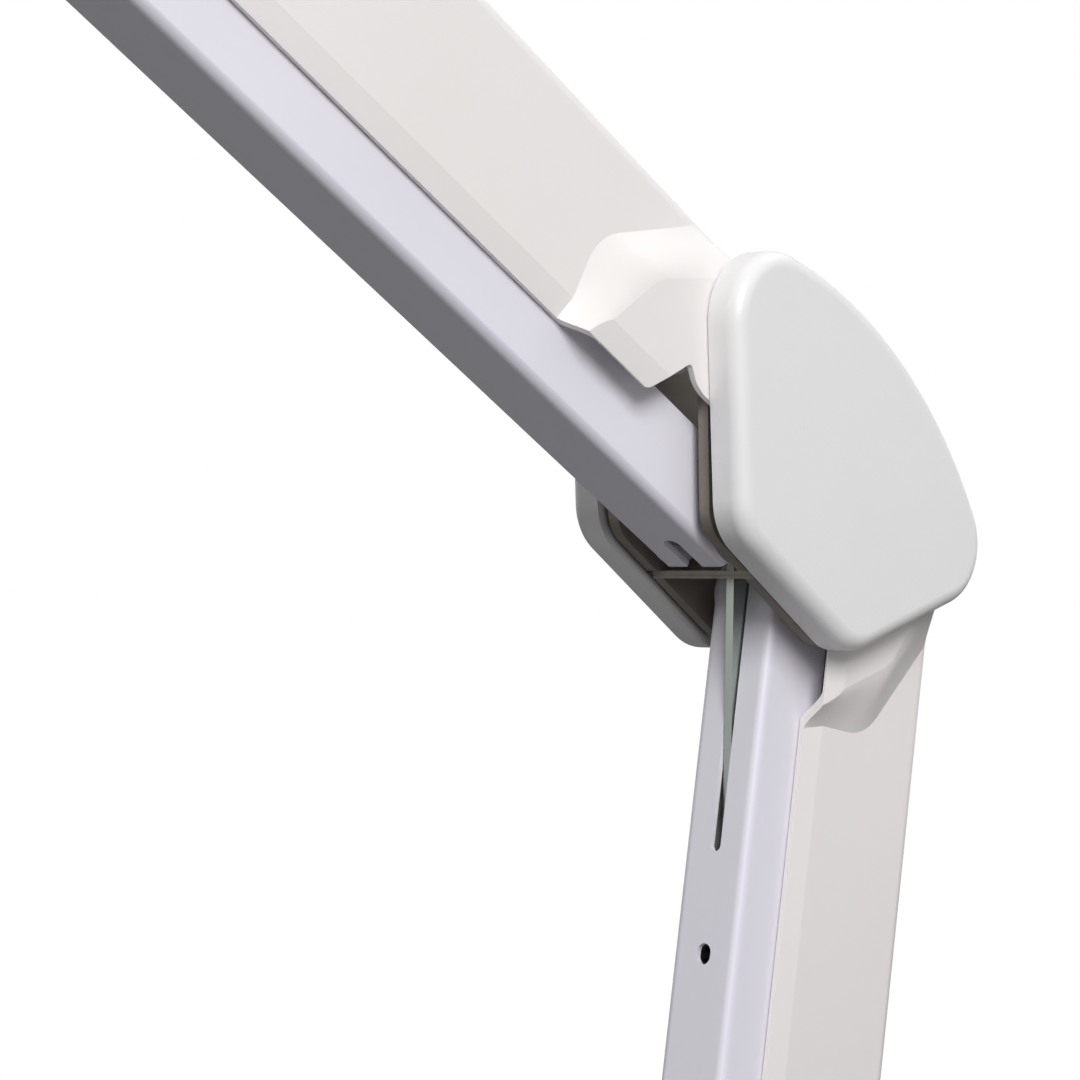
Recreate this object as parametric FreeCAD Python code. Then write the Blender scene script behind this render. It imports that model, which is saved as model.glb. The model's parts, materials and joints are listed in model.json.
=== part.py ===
import FreeCAD, Part
import math
import os

# Clamp magnifier lamp, millimetres, +Z up.
# Origin: centre of the clamp's upper jaw face, where it rests on the table top.
# The arms swing in the XZ plane and the head hangs on the -X side.
# Each arm is a parallelogram: a folded channel below and a covered bar above,
# carried by a pair of steel plates at the base, the elbow and the wrist.

# Rest pose
ARM_SPAN = 400.0            # pivot to pivot, both arms
LOWER_LEAN = 9.9            # degrees from upright, away from the head
UPPER_RISE = 31.2           # degrees above level, towards the head
FAN_AXIS = 55.4             # degrees above +X, axis of the elbow plates

# Arm channel
CHANNEL_WIDTH = 16.6
CHANNEL_DEPTH = 18.8
CHANNEL_SHEET = 1.2
CHANNEL_BEND = 1.9
PIVOT_TO_FACE = 9.1         # from the channel pivot to the closed face
CHANNEL_END = 2.0           # closed face beyond the pivot
CHANNEL_END_RADIUS = 8.4
LONG_SLOT = 54.4            # from the pivot, for the draw link
LONG_SLOT_WIDTH = 2.6
SHORT_SLOT = 8.1
SHORT_SLOT_WIDTH = 4.0
KEY_HOLE_PLACE = 75.4
KEY_HOLE_WIDTH = 3.5
KEY_HOLE_LENGTH = 4.3

# Covered upper bar
BAR_WIDTH = 16.6
BAR_HALF_DEPTH = 7.8
BAR_SHEET = 1.2
COVER_WALL = 1.8
COVER_GAP = 0.3
FLARE_WALL = 1.3
COVER_TOP = 12.0            # above the upper pivot
SKIRT_EDGE = 28.4           # below the upper pivot
SKIRT_CORNER = 21.8
SKIRT_BEND = 23.0           # below the upper pivot, where the skirt turns in
SKIRT_TURN_IN = 0.8
CUT_DROP = 17.2
CUT_RUN = 14.2
LOBE_RADIUS = 20.5
FLARE_LOW = 44.6            # the widened end's front, at the skirt's edge
FLARE_KNEE = (42.6, 8.5)    # along and below the upper pivot
FLARE_TOP = 20.0
FLARE_HEIGHT = 9.4
FLARE_RUN = (-8.0, 12.0)    # where the front starts to widen and where it ends, inwards
FLARE_TOP_SHARE = 0.17      # share of that run at the top
FLARE_EDGE_SHARE = 0.25     # share of that run at the skirt's edge
FLARE_STEPS = 6
TOP_WALL_START = 5.5
COVER_EDGE_ROUND = 3.5
COVER_SCREW_PLACES = (110.0, 290.0)

# Plates, pins and caps of the elbow
PLATE = 2.5
PLATE_GAP = 2.5
PIN_MIDDLE = -2.6           # the pins' line of symmetry, off the plates' axis
PIVOT_S = 10.5              # lower pivots, along and across that line
PIVOT_T = 13.2
TOP_S = 41.7                # upper pivots
TOP_T_UPPER = 35.8
TOP_T_LOWER = 33.8
LINK_PIN = (14.4, -1.9)     # draw link pin, along and across the fan axis
PLATE_BASE = 1.1
PLATE_TOP_RADIUS = 7.5
PLATE_LEG = (28.0, 41.2)
RIVET_RADIUS = 3.0
RIVET_HEAD_RADIUS = 4.6
RIVET_HEAD = 0.8
RUN_GAP = 0.05
SIDE_PLAY = 0.3
LINK_PIN_RADIUS = 2.0
HUB_RADIUS = 3.4
SPACER_RADIUS = 3.5
SPACER_PLACES = (25.0, 40.0)
WEB_SHEET = 1.6
WEB_DEPTH = 8.0
WEB_FRONT = (-3.3, 4.25)    # front edge of the web, from the middle of the fan's base
CAP_GAP = 0.3
CAP_FACE = 23.0
CAP_WALL = 2.0
CAP_ROUND = 3.3
CAP_LEG_SPREAD = 16.2
CAP_BASE_RADIUS = 12.0
CAP_UPPER = (41.5, 34.9, 14.9)
CAP_LOWER = (37.2, -34.7, 13.3)
CAP_OUTER_RADIUS = 104.0
CAP_STUDS = (32.0, 46.0)
STUD_RADIUS = 2.2
POST_RADIUS = 3.6
SCREW_RADIUS = 1.5
SCREW_HEAD = 2.8
SCREW_HEAD_HEIGHT = 1.6

# Draw link and spring
LINK_SHEET = 1.9
LINK_WIDTH = 8.0
LINK_LENGTH = 72.0
LINK_AIM = -0.3             # how far the link's end lies off the pivot line
SPRING_RADIUS = 5.5
SPRING_WIRE = 1.9
SPRING_START = 8.0          # from the link's end hole
SPRING_LENGTH = 110.0
ANCHOR_REACH = 26.0

# Clamp
JAW_WIDTH = 38.0
JAW_SHEET = 8.0
JAW_PAD = 2.0
JAW_FRONT = -32.0
SPINE_X = 26.0
JAW_OPENING = 74.0
LOWER_JAW_FRONT = -16.0
LOWER_JAW = 10.0
SOCKET_RADIUS = 13.0
SOCKET_TOP = 48.0
POST_RADIUS_STEEL = 6.0
SPINDLE_X = -4.0
SPINDLE_RADIUS = 6.0
SPINDLE_BOSS = 10.5
TABLE = 30.0                # table thickness that the rest pose holds
FOOT_RADIUS = 17.0
FOOT_SHEET = 4.0
FOOT_RISE = 28.0            # travel left above the rest pose
KNOB_RADIUS = 21.0
KNOB_HEIGHT = 20.0
KNOB_LOBES = 5
LOCK_Z = 30.0
LOCK_RADIUS = 3.0

# Base yoke
BASE_PIVOT = (-12.0, 74.0)
BASE_BLOCK_TOP = 11.0       # below the pivot
BASE_BOTTOM = 22.0
COLLAR_RADIUS = 14.0
COLLAR = 3.4

# Wrist
BARREL_X = -36.0            # from the wrist pivot
BARREL_LOW = -16.0
BARREL_HIGH = 14.0
STEM_RADIUS = 5.0
TILT_DROP = 44.0            # tilt bolt below the wrist pivot
FORK_GAP = 3.0
FORK_CHEEK = 5.0
FORK_RADIUS = 10.0
BOLT_RADIUS = 4.0
TILT_KNOB_RADIUS = 15.0

# Head
HEAD_DROP = 6.0
LENS_RADIUS = 63.5
LENS_EDGE = 3.0
LENS_CURVE = 348.0
HEAD_RADIUS = 112.0
HEAD_REACH = HEAD_RADIUS + 34.0     # tilt bolt to the lens axis
HEAD_INNER = 61.5
HEAD_WALL = 2.5
HEAD_LOW = -10.0
HEAD_HIGH = 24.0
LENS_SEAT = 8.0
LENS_PLAY = 0.42           # the curved faces clear the seat and the ring by this much at the rim
LENS_RING = 3.0
DIFFUSER = 2.4
BOARD = 1.6
BOARD_LEVEL = 8.0
LED_COUNT = 48
LED_RADIUS = 88.0
LED_SIZE = 3.5
LED_HEIGHT = 1.4
LID_RADIUS = 69.0
LID = 2.4
LID_GAP = 0.4
HINGE_RADIUS = 2.0
LID_HINGE_RISE = 3.3
SWITCH_LENGTH = 19.0
SWITCH_WIDTH = 12.8
SWITCH_PLACE = HEAD_RADIUS - 22.0
SWITCH_FLOOR = 12.0
SWITCH_TOP = HEAD_HIGH + 2.8
POD_TOP = HEAD_HIGH + 2.0
POD_FLOOR = HEAD_HIGH - 7.0
ROCKER_PIN = 1.2
TAB = 5.4
GLAND_RADIUS = 4.0
GLAND_BORE = 2.6
GLAND_TURN = 25.0           # degrees round the head from the tilt tab

HALF = CHANNEL_WIDTH / 2
PLATE_IN = HALF + PLATE_GAP
PLATE_OUT = PLATE_IN + PLATE
FLARE_IN = PLATE_OUT + COVER_GAP
FLARE_OUT = FLARE_IN + FLARE_WALL
CAP_RIM = FLARE_OUT + CAP_GAP
COVER_IN = HALF + COVER_GAP
COVER_OUT = COVER_IN + COVER_WALL

nodes = {}


def vec(x, y, z):
    return FreeCAD.Vector(x, y, z)


def flat(x, z, y=0.0):
    return FreeCAD.Vector(x, y, z)


def turned(x, z, degrees):
    """Turn a point of the XZ plane about +Y: from +Z towards +X."""
    a = math.radians(degrees)
    return x * math.cos(a) + z * math.sin(a), z * math.cos(a) - x * math.sin(a)


def prism(edges, low, high):
    solid = Part.Face(Part.Wire(edges)).extrude(vec(0, high - low, 0))
    solid.translate(vec(0, low, 0))
    return solid


def arc_or_line(edges, start, middle, end):
    if start.distanceToPoint(end) > 1e-6:
        edges.append(Part.Arc(start, middle, end).toShape())


def belt(circles, low, high, inset=0.0):
    """Prism whose outline is a belt laid round circles (x, z, r), counter-clockwise."""
    count = len(circles)
    normals = []
    for i in range(count):
        x0, z0, r0 = circles[i]
        x1, z1, r1 = circles[(i + 1) % count]
        run = math.hypot(x1 - x0, z1 - z0)
        tx, tz = (x1 - x0) / run, (z1 - z0) / run
        k = max(-1.0, min(1.0, (r0 - r1) / run))
        side = math.sqrt(1 - k * k)
        normals.append(math.atan2(k * tz - side * tx, k * tx + side * tz))
    edges = []
    last = None
    first = None
    for i in range(count):
        x, z, r = circles[i]
        r -= inset
        a0, a1 = normals[i - 1], normals[i]
        while a1 < a0 - 1e-9:
            a1 += 2 * math.pi
        points = [flat(x + r * math.cos(a), z + r * math.sin(a)) for a in (a0, (a0 + a1) / 2, a1)]
        if last is not None and last.distanceToPoint(points[0]) > 1e-6:
            edges.append(Part.LineSegment(last, points[0]).toShape())
        arc_or_line(edges, *points)
        first = first or points[0]
        last = points[2]
    if last.distanceToPoint(first) > 1e-6:
        edges.append(Part.LineSegment(last, first).toShape())
    return prism(edges, low, high)


def outline(corners):
    """Closed outline in the XZ plane, from corners (x, z, radius)."""
    count = len(corners)
    edges = []
    last = None
    first = None
    for i in range(count):
        p = flat(corners[i][0], corners[i][1])
        before = flat(*corners[i - 1][:2]) - p
        after = flat(*corners[(i + 1) % count][:2]) - p
        before.normalize()
        after.normalize()
        r = corners[i][2]
        if r <= 0:
            points = (p, p, p)
        else:
            half = before.getAngle(after) / 2
            out = before + after
            out.normalize()
            points = (p + before * (r / math.tan(half)), p + out * (r / math.sin(half) - r),
                      p + after * (r / math.tan(half)))
        if last is not None and last.distanceToPoint(points[0]) > 1e-6:
            edges.append(Part.LineSegment(last, points[0]).toShape())
        arc_or_line(edges, *points)
        first = first or points[0]
        last = points[2]
    edges.append(Part.LineSegment(last, first).toShape())
    return edges


def rounded(corners, low, high):
    return prism(outline(corners), low, high)


def box(x0, x1, y0, y1, z0, z1):
    return Part.makeBox(x1 - x0, y1 - y0, z1 - z0, vec(x0, y0, z0))


def rod(x, z, r, low, high):
    """Cylinder along Y."""
    return Part.makeCylinder(r, high - low, vec(x, low, z), vec(0, 1, 0))


def post(x, y, r, low, high):
    """Cylinder along Z."""
    return Part.makeCylinder(r, high - low, vec(x, y, low), vec(0, 0, 1))


def mirrored(shape):
    return shape.mirror(vec(0, 0, 0), vec(0, 1, 0))


def placed(shape, place, degrees):
    moved = shape.copy()
    moved.rotate(vec(0, 0, 0), vec(0, 1, 0), degrees)
    moved.translate(vec(place[0], 0, place[1]))
    return moved


def rim_edges(shape, axis, value):
    """Edges that lie in one plane across an axis."""
    found = []
    for edge in shape.Edges:
        bounds = edge.BoundBox
        low, high = {"x": (bounds.XMin, bounds.XMax), "y": (bounds.YMin, bounds.YMax),
                     "z": (bounds.ZMin, bounds.ZMax)}[axis]
        if abs(low - value) < 1e-4 and abs(high - value) < 1e-4:
            found.append(edge)
    return found


def rivet(x, z, inner, outer, side):
    """Flush rivet: a head inside the sheet, a shoulder, a countersunk head in the plate."""
    parts = [rod(x, z, RIVET_HEAD_RADIUS, inner - SIDE_PLAY - RIVET_HEAD, inner - SIDE_PLAY),
             rod(x, z, RIVET_RADIUS, inner - SIDE_PLAY - 0.1, outer),
             rod(x, z, RIVET_HEAD_RADIUS, HALF + SIDE_PLAY, PLATE_IN)]
    sink = Part.makeCone(RIVET_RADIUS, RIVET_HEAD_RADIUS, PLATE / 2, vec(x, outer - PLATE / 2, z), vec(0, 1, 0))
    shape = parts[0].fuse(parts[1:] + [sink]).removeSplitter()
    return shape if side > 0 else mirrored(shape)


def rivet_holes(x, z):
    """What a plate loses to the rivets at one pivot."""
    cut = rod(x, z, RIVET_RADIUS, PLATE_IN - 1, PLATE_OUT + 1)
    sink = Part.makeCone(RIVET_RADIUS, RIVET_HEAD_RADIUS, PLATE / 2, vec(x, PLATE_OUT - PLATE / 2, z), vec(0, 1, 0))
    return cut.fuse(sink)


def arm_channel():
    """Folded channel, pivot at the origin, along +Z, closed face towards -X."""
    near, far = -PIVOT_TO_FACE, CHANNEL_DEPTH - PIVOT_TO_FACE
    low, high = -CHANNEL_END, ARM_SPAN + CHANNEL_END
    outer = box(near, far, -HALF, HALF, low, high)
    folds = [e for e in outer.Edges if abs(e.BoundBox.XMax - near) < 1e-6 and e.BoundBox.ZLength > ARM_SPAN]
    outer = outer.makeFillet(CHANNEL_BEND, folds)
    inner_half = HALF - CHANNEL_SHEET
    inner = box(near + CHANNEL_SHEET, far + 5, -inner_half, inner_half, low - 5, high + 5)
    folds = [e for e in inner.Edges
             if abs(e.BoundBox.XMax - near - CHANNEL_SHEET) < 1e-6 and e.BoundBox.ZLength > ARM_SPAN]
    inner = inner.makeFillet(CHANNEL_BEND - CHANNEL_SHEET, folds)
    shape = outer.cut(inner)
    for z in (0.0, ARM_SPAN):
        ear = rod(0, z, CHANNEL_END_RADIUS, inner_half, HALF)
        shape = shape.fuse([ear, mirrored(ear)])
    for z in (0.0, ARM_SPAN):
        shape = shape.cut(rod(0, z, RIVET_RADIUS + RUN_GAP, -HALF - 1, HALF + 1))
    long_half, short_half = LONG_SLOT_WIDTH / 2, SHORT_SLOT_WIDTH / 2
    bottom = ARM_SPAN - LONG_SLOT
    cuts = [box(near - 1, near + 3, -long_half, long_half, bottom + long_half, high + 1),
            Part.makeCylinder(long_half, 4, vec(near - 1, 0, bottom + long_half), vec(1, 0, 0)),
            box(near - 1, near + 3, -short_half, short_half, low - 1, SHORT_SLOT - short_half),
            Part.makeCylinder(short_half, 4, vec(near - 1, 0, SHORT_SLOT - short_half), vec(1, 0, 0))]
    hole_z = ARM_SPAN - KEY_HOLE_PLACE
    spare = (KEY_HOLE_LENGTH - KEY_HOLE_WIDTH) / 2
    for dz in (-spare, spare):
        cuts.append(Part.makeCylinder(KEY_HOLE_WIDTH / 2, 4, vec(near - 1, 0, hole_z + dz), vec(1, 0, 0)))
    cuts.append(box(near - 1, near + 3, -KEY_HOLE_WIDTH / 2, KEY_HOLE_WIDTH / 2, hole_z - spare, hole_z + spare))
    return shape.cut(cuts).removeSplitter()


def cover_side(low, high):
    """Side view of the plain part of the cover."""
    def end(a):
        return [(COVER_TOP, a(TOP_WALL_START), 0), (-CUT_DROP, a(TOP_WALL_START), 0),
                (-CUT_DROP, a(CUT_RUN), 0), (-SKIRT_EDGE, a(SKIRT_CORNER), 2.5)]
    corners = end(lambda a: a) + list(reversed(end(lambda a: ARM_SPAN - a)))
    return rounded(corners, low, high)


def flare_side(low, high):
    """Side view of the widened end, with the lobe round the upper pivot."""
    top, far = COVER_TOP + 8, FLARE_LOW + 20
    return rounded([(top, -COVER_TOP, 8.0), (-LOBE_RADIUS, -COVER_TOP, COVER_TOP - 1.0),
                    (-LOBE_RADIUS, LOBE_RADIUS / 2, 8.0), (-CUT_DROP, CUT_RUN, 1.0),
                    (-SKIRT_EDGE, SKIRT_CORNER, 2.5), (-SKIRT_EDGE, far, 0), (top, far, 0)], low, high)


def soft_outline(inset, run):
    """Outline of the flare, drawn in by the wall and by its run at the front and the top."""
    knee, drop = FLARE_KNEE
    reach = SKIRT_EDGE + 3
    low = FLARE_LOW - inset - run * FLARE_EDGE_SHARE
    top = FLARE_HEIGHT - inset - run * FLARE_TOP_SHARE
    return outline([(top, -45, 0), (-reach, -45, 0), (-reach, low, 0),
                    (-drop, knee - inset - run, 12.0), (top, FLARE_TOP - inset - run, 7.0)])


def soft_block(half, inset):
    """Block under the flare: its sides swell in a soft S from the plain width to the full one."""
    foot = COVER_OUT - SKIRT_TURN_IN - 0.1 - (FLARE_OUT - half)
    start, end = FLARE_RUN
    core = prism(soft_outline(inset, start), -foot, foot)
    wires = []
    for step in range(FLARE_STEPS + 1):
        t = step / FLARE_STEPS
        swell = 0.15 * t + 0.85 * t * t * (3 - 2 * t)
        wire = Part.Wire(soft_outline(inset, start + (end - start) * t))
        wire.translate(vec(0, foot + (half - foot) * swell, 0))
        wires.append(wire)
    side = Part.makeLoft(wires, True, False)
    return core.fuse([side, mirrored(side)])


def turn_in(half):
    """Wedges that slant the skirt's outer face below its bend, for one half-width."""
    wedges = []
    low, high = -30, ARM_SPAN + 30
    for side in (-1, 1):
        corners = [vec(-SKIRT_BEND, side * half, low), vec(-SKIRT_EDGE, side * (half - SKIRT_TURN_IN), low),
                   vec(-SKIRT_EDGE - 4, side * (half - SKIRT_TURN_IN), low),
                   vec(-SKIRT_EDGE - 4, side * (half + 2), low), vec(-SKIRT_BEND, side * (half + 2), low)]
        face = Part.Face(Part.makePolygon(corners + corners[:1]))
        wedges.append(face.extrude(vec(0, 0, high - low)))
    return wedges


def other_end(shape):
    turned_over = shape.copy()
    turned_over.rotate(vec(0, 0, ARM_SPAN / 2), vec(0, 1, 0), 180)
    turned_over.rotate(vec(0, 0, ARM_SPAN / 2), vec(0, 0, 1), 180)
    return turned_over


def arm_cover():
    """Plastic cover over the upper bar, upper pivot at the origin, along +Z."""
    body = cover_side(-COVER_OUT, COVER_OUT)
    tops = [e for e in body.Edges if abs(e.BoundBox.XMin - COVER_TOP) < 1e-4 and e.BoundBox.ZLength > ARM_SPAN / 2]
    body = body.makeFillet(COVER_EDGE_ROUND, tops).cut(turn_in(COVER_OUT))
    widened = flare_side(-FLARE_OUT, FLARE_OUT).common(soft_block(FLARE_OUT, 0.0))
    widened = widened.cut(turn_in(FLARE_OUT))
    room = soft_block(FLARE_IN, FLARE_WALL)
    clear = box(-60, COVER_TOP + 5, -FLARE_IN, FLARE_IN, -30, TOP_WALL_START)
    body = body.fuse([widened, other_end(widened)])
    hollow = box(-60, COVER_TOP - COVER_WALL, -COVER_IN, COVER_IN, -30, ARM_SPAN + 30)
    roof = [e for e in hollow.Edges
            if abs(e.BoundBox.XMin - COVER_TOP + COVER_WALL) < 1e-4 and e.BoundBox.ZLength > ARM_SPAN / 2]
    hollow = hollow.makeFillet(COVER_EDGE_ROUND - COVER_WALL, roof)
    body = body.cut([hollow, room, clear, other_end(room), other_end(clear)])
    for z in COVER_SCREW_PLACES:
        boss = Part.makeCylinder(4.0, COVER_TOP - BAR_HALF_DEPTH - 0.2, vec(BAR_HALF_DEPTH, 0, z), vec(1, 0, 0))
        hole = Part.makeCylinder(SCREW_RADIUS, 3.0, vec(BAR_HALF_DEPTH - 0.1, 0, z), vec(1, 0, 0))
        body = body.fuse(boss).cut(hole)
    return body.removeSplitter()


def upper_bar():
    """Folded bar under the cover, open downwards (-X)."""
    half = BAR_WIDTH / 2
    inner_half = half - BAR_SHEET
    side = [(0, 0, BAR_HALF_DEPTH), (0, ARM_SPAN, BAR_HALF_DEPTH)]
    shape = belt(side, -half, half)
    shape = shape.cut(box(-BAR_HALF_DEPTH - 1, BAR_HALF_DEPTH - BAR_SHEET, -inner_half, inner_half,
                          -BAR_HALF_DEPTH - 1, ARM_SPAN + BAR_HALF_DEPTH + 1))
    cuts = [rod(0, z, RIVET_RADIUS + RUN_GAP, -half - 1, half + 1) for z in (0.0, ARM_SPAN)]
    cuts += [Part.makeCylinder(SCREW_RADIUS, 6, vec(BAR_HALF_DEPTH - 4, 0, z), vec(1, 0, 0))
             for z in COVER_SCREW_PLACES]
    return shape.cut(cuts)


def cover_screws():
    start = BAR_HALF_DEPTH - BAR_SHEET
    screws = []
    for z in COVER_SCREW_PLACES:
        shank = Part.makeCylinder(SCREW_RADIUS, BAR_SHEET + 2.6, vec(start, 0, z), vec(1, 0, 0))
        head = Part.makeCylinder(SCREW_HEAD, SCREW_HEAD_HEIGHT,
                                 vec(start - SCREW_HEAD_HEIGHT, 0, z), vec(1, 0, 0))
        screws.append(shank.fuse(head).removeSplitter())
    return Part.makeCompound(screws)


def link_place():
    """Draw link pin from the channel pivot, in the upright arm's frame, at rest."""
    ds, dt = LINK_PIN[0] - PIVOT_S, LINK_PIN[1] - PIN_MIDDLE + PIVOT_T
    return turned(*turned(ds, dt, -FAN_AXIS), -LOWER_LEAN)


def draw_link():
    """Flat bar from the elbow or wrist pin down to the spring, in the upright arm's frame."""
    x, z = link_place()
    drop = math.sqrt(LINK_LENGTH ** 2 - (LINK_AIM - x) ** 2)
    half = LINK_SHEET / 2
    end = (LINK_AIM, z - drop)
    shape = belt([(end[0], end[1], LINK_WIDTH / 2), (x, z, LINK_WIDTH / 2)], -half, half)
    hub = PLATE_IN - SIDE_PLAY
    shape = shape.fuse(rod(x, z, HUB_RADIUS, -hub, hub))
    shape = shape.cut([rod(x, z, LINK_PIN_RADIUS + RUN_GAP, -hub - 1, hub + 1), rod(end[0], end[1], 2.0, -2, 2)])
    shape.translate(vec(0, 0, ARM_SPAN))
    return shape, (end[0], ARM_SPAN + end[1])


def arm_spring(hook):
    """Tension spring inside the channel: wound body, and an eye through the link's end hole."""
    x, z = hook
    top = z - SPRING_START
    body = Part.makeCylinder(SPRING_RADIUS, SPRING_LENGTH, vec(0, 0, top - SPRING_LENGTH), vec(0, 0, 1))
    core = Part.makeCylinder(SPRING_RADIUS - SPRING_WIRE, SPRING_LENGTH + 2,
                             vec(0, 0, top - SPRING_LENGTH - 1), vec(0, 0, 1))
    body = body.cut(core)
    wire = SPRING_WIRE / 2
    eyes = []
    for end in (1, -1):
        level = top if end > 0 else top - SPRING_LENGTH
        leg = Part.makeCylinder(wire, SPRING_START + 1.5, vec(0, 3.6, level - (0 if end > 0 else SPRING_START)),
                                vec(0, 0, 1))
        reach = level + end * (SPRING_START - (0.9 if end > 0 else 0))
        across = Part.makeCylinder(wire, 7.2, vec(0, -3.6, z if end > 0 else reach), vec(0, 1, 0))
        bridge = box(-wire, wire, 3.0, SPRING_RADIUS - 0.2, level - 1, level + 1)
        eyes += [leg, across, bridge]
    return body.fuse(eyes).removeSplitter(), top - SPRING_LENGTH - SPRING_START


def spring_anchor(level):
    """Stirrup across the channel that holds the spring's lower eye, with its set screw."""
    inner = HALF - CHANNEL_SHEET
    floor = -PIVOT_TO_FACE + CHANNEL_SHEET
    yoke = box(floor, 6.0, -inner, inner, level - ANCHOR_REACH, level - ANCHOR_REACH + 3.0)
    screw = post(0, 0, 2.5, level - ANCHOR_REACH - 10, level - 4.0)
    eye = belt([(0, level - 4.0, 3.2), (0, level, 3.2)], -1.0, 1.0).cut(rod(0, level, 1.3, -2, 2))
    nut = post(0, 0, 4.4, level - ANCHOR_REACH - 5, level - ANCHOR_REACH)
    return yoke.fuse([screw, eye, nut]).removeSplitter()


def cap(circles, studs):
    """Hollow cap shell on the +Y side, with the studs that snap into the plate."""
    shell = belt(circles, CAP_RIM, CAP_FACE)
    shell = shell.makeFillet(CAP_ROUND, rim_edges(shell, "y", CAP_FACE))
    shell = shell.cut(belt(circles, CAP_RIM - 1, CAP_FACE - CAP_WALL, CAP_WALL))
    for x, z in studs:
        shell = shell.fuse([rod(x, z, POST_RADIUS, PLATE_OUT, CAP_FACE - CAP_WALL / 2),
                            rod(x, z, STUD_RADIUS, PLATE_IN, PLATE_OUT + 1)])
    return shell.removeSplitter()


def plate_holes(pivots, studs, pins=()):
    """Everything drilled through a plate: rivets, cap studs, link pins."""
    holes = [rivet_holes(x, z) for x, z in pivots]
    holes += [rod(x, z, STUD_RADIUS, PLATE_IN - 1, PLATE_OUT + 1) for x, z in studs]
    holes += [rod(x, z, LINK_PIN_RADIUS, PLATE_IN - 1, PLATE_OUT + 1) for x, z in pins]
    return holes


def rivets(pivots):
    inner = HALF - CHANNEL_SHEET
    return Part.makeCompound([rivet(x, z, inner, PLATE_OUT, side) for x, z in pivots for side in (1, -1)])


def add_pair(name, shape, place, degrees):
    """The +Y piece is the far one, its mirror image the near one."""
    nodes[name + "_far"] = placed(shape, place, degrees)
    nodes[name + "_near"] = placed(mirrored(shape), place, degrees)


def common_circle(first, second, radius):
    """Circle of a radius that touches two smaller ones from outside, on the side of small x."""
    (x1, z1, r1), (x2, z2, r2) = first, second
    a, b = radius - r1, radius - r2
    run = math.hypot(x2 - x1, z2 - z1)
    along = (a * a - b * b + run * run) / (2 * run)
    off = math.sqrt(a * a - along * along)
    tx, tz = (x2 - x1) / run, (z2 - z1) / run
    return x1 + along * tx - off * tz, z1 + along * tz + off * tx, radius


# Where everything stands at rest
top_offset_lower = turned(TOP_S - PIVOT_S, PIVOT_T - TOP_T_LOWER, -FAN_AXIS)
top_offset_upper = turned(TOP_S - PIVOT_S, TOP_T_UPPER - PIVOT_T, -FAN_AXIS)
arm_up = turned(0, ARM_SPAN, LOWER_LEAN)
elbow_lower = (BASE_PIVOT[0] + arm_up[0], BASE_PIVOT[1] + arm_up[1])
lower_in_fan = turned(PIVOT_S, PIN_MIDDLE - PIVOT_T, -FAN_AXIS)
fan = (elbow_lower[0] - lower_in_fan[0], elbow_lower[1] - lower_in_fan[1])
upper_in_fan = turned(PIVOT_S, PIN_MIDDLE + PIVOT_T, -FAN_AXIS)
elbow_upper = (fan[0] + upper_in_fan[0], fan[1] + upper_in_fan[1])
UPPER_TURN = UPPER_RISE - 90.0
arm_out = turned(0, ARM_SPAN, UPPER_TURN)
wrist = (elbow_upper[0] + arm_out[0], elbow_upper[1] + arm_out[1])


def build_arm(name, pivot, degrees, top_offset):
    bar_place = (pivot[0] + top_offset[0], pivot[1] + top_offset[1])
    nodes[name + "_channel"] = placed(arm_channel(), pivot, degrees)
    link, hook = draw_link()
    nodes[name + "_draw_link"] = placed(link, pivot, degrees)
    spring, level = arm_spring(hook)
    nodes[name + "_spring"] = placed(spring, pivot, degrees)
    nodes[name + "_spring_anchor"] = placed(spring_anchor(level), pivot, degrees)
    nodes[name + "_top_bar"] = placed(upper_bar(), bar_place, degrees)
    nodes[name + "_cover"] = placed(arm_cover(), bar_place, degrees)
    nodes[name + "_cover_screws"] = placed(cover_screws(), bar_place, degrees)


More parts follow.
